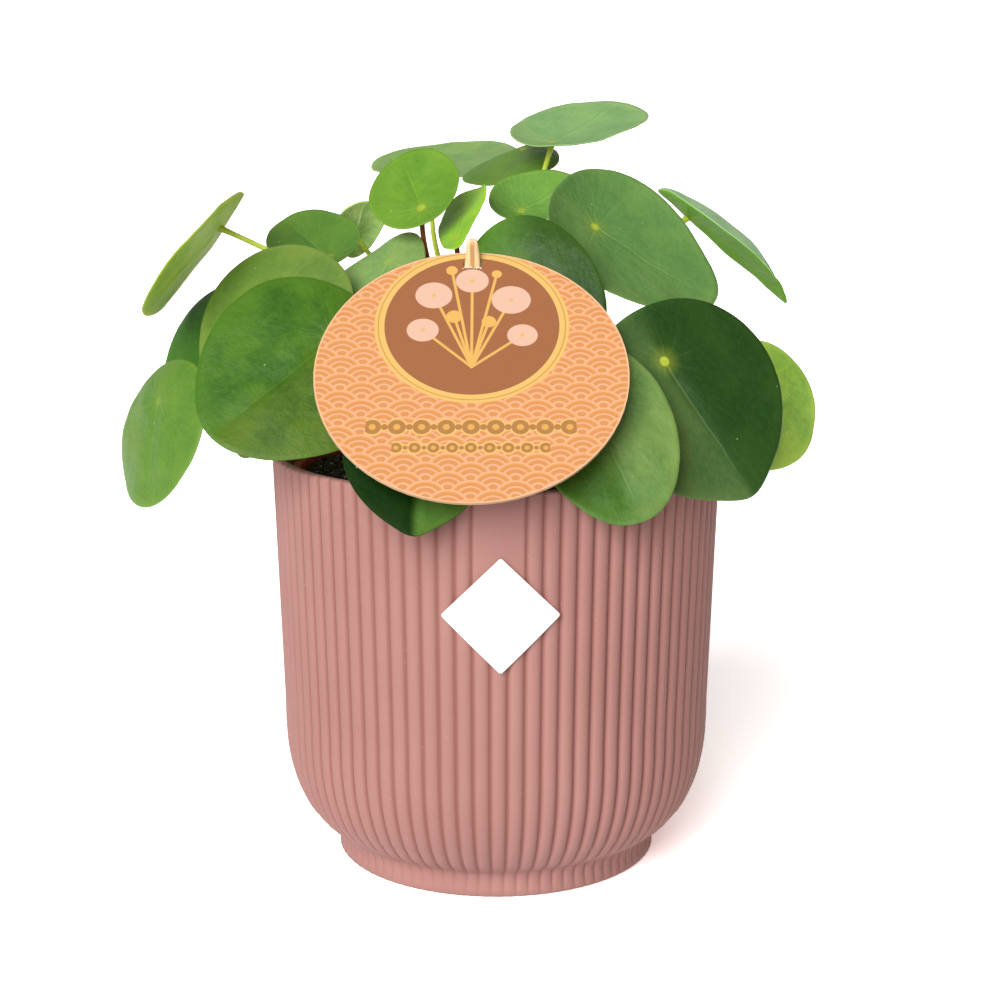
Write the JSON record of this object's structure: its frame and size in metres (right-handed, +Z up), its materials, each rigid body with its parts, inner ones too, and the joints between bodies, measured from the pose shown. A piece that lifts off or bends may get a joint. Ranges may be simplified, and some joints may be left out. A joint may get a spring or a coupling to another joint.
{
  "type": "potted chinese money plant",
  "caption": "Chinese money plant with round leaves on a short stem, in a grow pot of soil inside a dusty pink ribbed pot with a blank diamond label, and a round wave-patterned card on a stick.",
  "frame": {"origin": "middle of the pot's flat foot, on the pot's axis", "axes": "+Z up along the pot's axis, -Y towards the front with the label and the card, +X to the right seen from the front"},
  "size_m": [0.2168, 0.1951, 0.2351],
  "materials": {
    "pot": "matte dusty pink",
    "label": "blank white sticker",
    "grow_pot": "dark red-brown",
    "soil": "dark potting soil with pale grains",
    "stem": "brown bark",
    "stick": "pale untreated wood",
    "card": "printed card, orange waves on peach",
    "leaf": "satin green"
  },
  "bodies": {
    "root": {"outer_pot": "pot", "label": "label", "grow_pot": "grow_pot", "soil": "soil", "stem": "stem", "stick": "stick", "tag_card": "card", "leaf_01": "leaf", "leaf_02": "leaf", "leaf_03": "leaf", "leaf_04": "leaf", "leaf_05": "leaf", "leaf_06": "leaf", "leaf_07": "leaf", "leaf_08": "leaf", "leaf_09": "leaf", "leaf_10": "leaf", "leaf_11": "leaf", "leaf_12": "leaf", "leaf_13": "leaf", "leaf_14": "leaf", "leaf_15": "leaf", "leaf_16": "leaf", "leaf_17": "leaf", "leaf_18": "leaf", "leaf_19": "leaf", "leaf_20": "leaf", "leaf_21": "leaf", "leaf_22": "leaf", "leaf_23": "leaf", "leaf_24": "leaf", "leaf_25": "leaf", "leaf_26": "leaf", "leaf_27": "leaf"}
  },
  "joints": []
}
